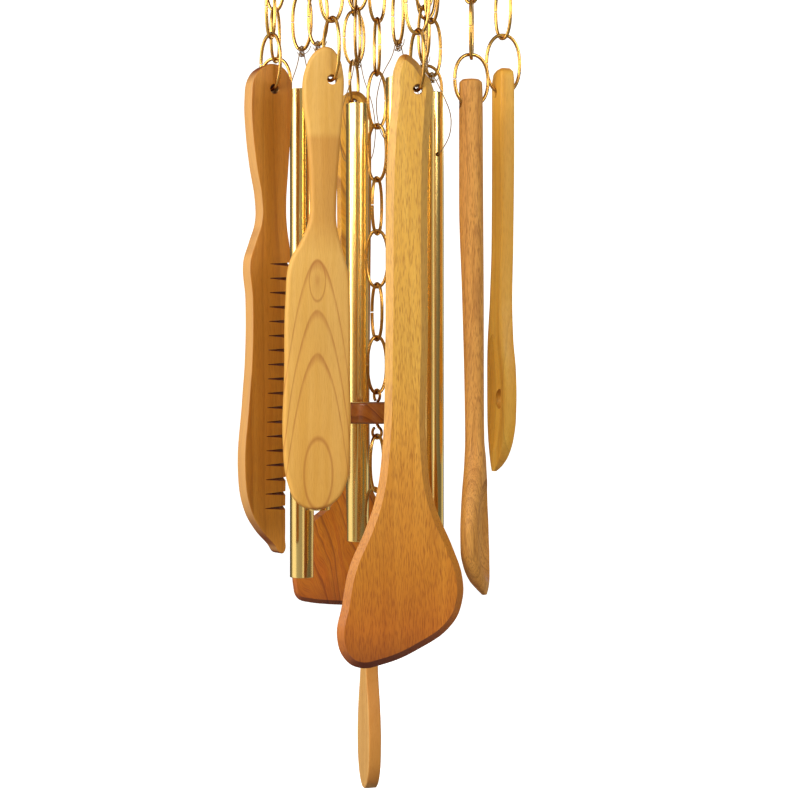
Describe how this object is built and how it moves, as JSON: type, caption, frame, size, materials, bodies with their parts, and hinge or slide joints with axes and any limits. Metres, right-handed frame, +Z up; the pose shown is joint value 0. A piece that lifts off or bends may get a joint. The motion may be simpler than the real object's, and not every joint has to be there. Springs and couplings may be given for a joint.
{
  "type": "wind chime",
  "caption": "Hanging garden wind chime: wooden kitchen utensils and brass tubes on brass chains below a round board, with a striker disc and a sail.",
  "frame": {"origin": "where a hook bears inside the hanging ring at the top", "axes": "+Z up, -Y towards the front, +X to the right as seen from the front"},
  "size_m": [0.15, 0.15, 0.4921],
  "materials": {
    "board_wood": "oiled satin",
    "brass": "polished",
    "tube_brass": "polished",
    "knife_wood": "smooth satin",
    "spatula_wood": "smooth satin",
    "turner_wood": "oiled satin",
    "beech": "bare smooth",
    "risotto_wood": "smooth satin",
    "dark_wood": "oiled satin",
    "striker_wood": "varnished",
    "sail_wood": "smooth satin",
    "nylon": "clear gloss"
  },
  "bodies": {
    "board": {"top_board": "board_wood", "hanging_eye": "brass", "knife_eye": "brass", "spatula_eye": "brass", "turner_eye": "brass", "round_spoon_eye": "brass", "risotto_spoon_eye": "brass", "dark_turner_eye": "brass", "stick_eye": "brass", "back_spoon_eye": "brass", "tube_a_eye": "brass", "tube_b_eye": "brass", "tube_c_eye": "brass", "tube_d_eye": "brass", "tube_e_eye": "brass", "tube_f_eye": "brass", "centre_eye": "brass"},
    "hanging_ring": {"hanging_ring": "brass"},
    "knife_chain": {"knife_chain": "brass"},
    "serrated_knife": {"serrated_knife": "knife_wood"},
    "spatula_chain": {"spatula_chain": "brass"},
    "spatula": {"spatula": "spatula_wood"},
    "turner_chain": {"turner_chain": "brass"},
    "slanted_turner": {"slanted_turner": "turner_wood"},
    "round_spoon_chain": {"round_spoon_chain": "brass"},
    "round_spoon": {"round_spoon": "beech"},
    "risotto_spoon_chain": {"risotto_spoon_chain": "brass"},
    "risotto_spoon": {"risotto_spoon": "risotto_wood"},
    "dark_turner_chain": {"dark_turner_chain": "brass"},
    "dark_turner": {"dark_turner": "dark_wood"},
    "stick_chain": {"stick_chain": "brass"},
    "stirring_stick": {"stirring_stick": "beech"},
    "back_spoon_chain": {"back_spoon_chain": "brass"},
    "back_spoon": {"back_spoon": "beech"},
    "tube_a_chain": {"tube_a_chain": "brass"},
    "tube_a": {"tube_a": "tube_brass", "nylon_a": "nylon"},
    "tube_b_chain": {"tube_b_chain": "brass"},
    "tube_b": {"tube_b": "tube_brass", "nylon_b": "nylon"},
    "tube_c_chain": {"tube_c_chain": "brass"},
    "tube_c": {"tube_c": "tube_brass", "nylon_c": "nylon"},
    "tube_d_chain": {"tube_d_chain": "brass"},
    "tube_d": {"tube_d": "tube_brass", "nylon_d": "nylon"},
    "tube_e_chain": {"tube_e_chain": "brass"},
    "tube_e": {"tube_e": "tube_brass", "nylon_e": "nylon"},
    "tube_f_chain": {"tube_f_chain": "brass"},
    "tube_f": {"tube_f": "tube_brass", "nylon_f": "nylon"},
    "centre_chain": {"centre_chain": "brass"},
    "striker": {"striker": "striker_wood", "striker_top_eye": "brass", "striker_low_eye": "brass"},
    "lower_chain": {"lower_chain": "brass"},
    "sail": {"sail": "sail_wood"}
  },
  "joints": [
    {"name": "ring_swing", "type": "hinge", "parent": "board", "child": "hanging_ring", "pos_m": [0, 0, -0.024], "axis": [1, 0, 0], "range_deg": [-75, 75]},
    {"name": "knife_chain_swing", "type": "hinge", "parent": "board", "child": "knife_chain", "pos_m": [-0.0514, -0.024, -0.0674], "axis": [-0.1736, 0.9848, 0], "range_deg": [-1, 20]},
    {"name": "serrated_knife_swing", "type": "hinge", "parent": "knife_chain", "child": "serrated_knife", "pos_m": [-0.0514, -0.024, -0.14515], "axis": [-0.5446, 0.8387, 0], "range_deg": [-1.5, 15]},
    {"name": "spatula_chain_swing", "type": "hinge", "parent": "board", "child": "spatula_chain", "pos_m": [-0.0207, -0.055, -0.066], "axis": [-0.9397, 0.342, 0], "range_deg": [-2, 20]},
    {"name": "spatula_swing", "type": "hinge", "parent": "spatula_chain", "child": "spatula", "pos_m": [-0.0207, -0.055, -0.14605], "axis": [-0.1736, 0.9848, 0], "range_deg": [-3, 15]},
    {"name": "turner_chain_swing", "type": "hinge", "parent": "board", "child": "turner_chain", "pos_m": [0.0195, -0.057, -0.0721], "axis": [-0.9455, -0.3256, 0], "range_deg": [-1, 20]},
    {"name": "slanted_turner_swing", "type": "hinge", "parent": "turner_chain", "child": "slanted_turner", "pos_m": [0.0195, -0.057, -0.15105], "axis": [0.0698, -0.9976, 0], "range_deg": [-3, 0.8]},
    {"name": "round_spoon_chain_swing", "type": "hinge", "parent": "board", "child": "round_spoon_chain", "pos_m": [0.0456, -0.037, -0.0798], "axis": [-0.6293, -0.7771, 0], "range_deg": [-1, 20]},
    {"name": "round_spoon_swing", "type": "hinge", "parent": "round_spoon_chain", "child": "round_spoon", "pos_m": [0.0456, -0.037, -0.15465], "axis": [-0.9563, -0.2924, 0], "range_deg": [-2, 15]},
    {"name": "risotto_spoon_chain_swing", "type": "hinge", "parent": "board", "child": "risotto_spoon_chain", "pos_m": [0.063, -0.001, -0.0631], "axis": [0.1392, -0.9903, 0], "range_deg": [-2, 20]},
    {"name": "risotto_spoon_swing", "type": "hinge", "parent": "risotto_spoon_chain", "child": "risotto_spoon", "pos_m": [0.063, -0.001, -0.14265], "axis": [-0.9848, -0.1736, 0], "range_deg": [-15, 15]},
    {"name": "dark_turner_chain_swing", "type": "hinge", "parent": "board", "child": "dark_turner_chain", "pos_m": [-0.0129, 0.057, -0.065], "axis": [0.9744, 0.225, 0], "range_deg": [-1, 20]},
    {"name": "dark_turner_swing", "type": "hinge", "parent": "dark_turner_chain", "child": "dark_turner", "pos_m": [-0.0129, 0.057, -0.13845], "axis": [0.0698, 0.9976, 0], "range_deg": [-4, 15]},
    {"name": "stick_chain_swing", "type": "hinge", "parent": "board", "child": "stick_chain", "pos_m": [-0.053, 0.03, -0.0688], "axis": [0.4848, 0.8746, 0], "range_deg": [-3, 20]},
    {"name": "stirring_stick_swing", "type": "hinge", "parent": "stick_chain", "child": "stirring_stick", "pos_m": [-0.053, 0.03, -0.14605], "axis": [0.9945, -0.1045, 0], "range_deg": [-6, 15]},
    {"name": "back_spoon_chain_swing", "type": "hinge", "parent": "board", "child": "back_spoon_chain", "pos_m": [0.0254, 0.052, -0.0684], "axis": [0.4226, -0.9063, 0], "range_deg": [-2, 20]},
    {"name": "back_spoon_swing", "type": "hinge", "parent": "back_spoon_chain", "child": "back_spoon", "pos_m": [0.0254, 0.052, -0.14465], "axis": [0.9962, 0.0872, 0], "range_deg": [-0.8, 15]},
    {"name": "tube_a_chain_swing", "type": "hinge", "parent": "board", "child": "tube_a_chain", "pos_m": [-0.0372, -0.006, -0.0696], "axis": [-0.8746, 0.4848, 0], "range_deg": [-1, 1]},
    {"name": "tube_a_swing", "type": "hinge", "parent": "tube_a_chain", "child": "tube_a", "pos_m": [-0.0372, -0.006, -0.12175], "axis": [-0.8746, 0.4848, 0], "range_deg": [-1, 1]},
    {"name": "tube_b_chain_swing", "type": "hinge", "parent": "board", "child": "tube_b_chain", "pos_m": [-0.0105, 0.034, -0.0675], "axis": [0.225, 0.9744, 0], "range_deg": [-1.5, 1.5]},
    {"name": "tube_b_swing", "type": "hinge", "parent": "tube_b_chain", "child": "tube_b", "pos_m": [-0.0105, 0.034, -0.11965], "axis": [0.225, 0.9744, 0], "range_deg": [-1.5, 1.5]},
    {"name": "tube_c_chain_swing", "type": "hinge", "parent": "board", "child": "tube_c_chain", "pos_m": [0.0273, -0.004, -0.0823], "axis": [-0.8192, -0.5736, 0], "range_deg": [-0.5, 1.5]},
    {"name": "tube_c_swing", "type": "hinge", "parent": "tube_c_chain", "child": "tube_c", "pos_m": [0.0273, -0.004, -0.13445], "axis": [-0.8192, -0.5736, 0], "range_deg": [-0.5, 1.5]},
    {"name": "tube_d_chain_swing", "type": "hinge", "parent": "board", "child": "tube_d_chain", "pos_m": [0.0105, -0.033, -0.0721], "axis": [-0.4695, 0.8829, 0], "range_deg": [-1, 1.5]},
    {"name": "tube_d_swing", "type": "hinge", "parent": "tube_d_chain", "child": "tube_d", "pos_m": [0.0105, -0.033, -0.12425], "axis": [-0.4695, 0.8829, 0], "range_deg": [-1, 1.5]},
    {"name": "tube_e_chain_swing", "type": "hinge", "parent": "board", "child": "tube_e_chain", "pos_m": [-0.0284, -0.024, -0.0708], "axis": [-0.866, 0.5, 0], "range_deg": [-1, 1.5]},
    {"name": "tube_e_swing", "type": "hinge", "parent": "tube_e_chain", "child": "tube_e", "pos_m": [-0.0284, -0.024, -0.12295], "axis": [-0.866, 0.5, 0], "range_deg": [-1, 1.5]},
    {"name": "tube_f_chain_swing", "type": "hinge", "parent": "board", "child": "tube_f_chain", "pos_m": [0.0239, 0.027, -0.0688], "axis": [0.5, -0.866, 0], "range_deg": [-1, 1.2]},
    {"name": "tube_f_swing", "type": "hinge", "parent": "tube_f_chain", "child": "tube_f", "pos_m": [0.0239, 0.027, -0.12095], "axis": [0.5, -0.866, 0], "range_deg": [-1, 1.2]},
    {"name": "centre_chain_swing", "type": "hinge", "parent": "board", "child": "centre_chain", "pos_m": [0, 0, -0.0811], "axis": [0.9397, -0.342, 0], "range_deg": [-1.5, 1.5]},
    {"name": "striker_swing", "type": "hinge", "parent": "centre_chain", "child": "striker", "pos_m": [0, 0, -0.29225], "axis": [0.8572, 0.515, 0], "range_deg": [-4, 4]},
    {"name": "lower_chain_swing", "type": "hinge", "parent": "striker", "child": "lower_chain", "pos_m": [0, 0, -0.31565], "axis": [0.7986, -0.6018, 0], "range_deg": [-10, 10]},
    {"name": "sail_swing", "type": "hinge", "parent": "lower_chain", "child": "sail", "pos_m": [-0.0039, 0, -0.41855], "axis": [-0.9703, -0.2419, 0], "range_deg": [-25, 25]}
  ]
}
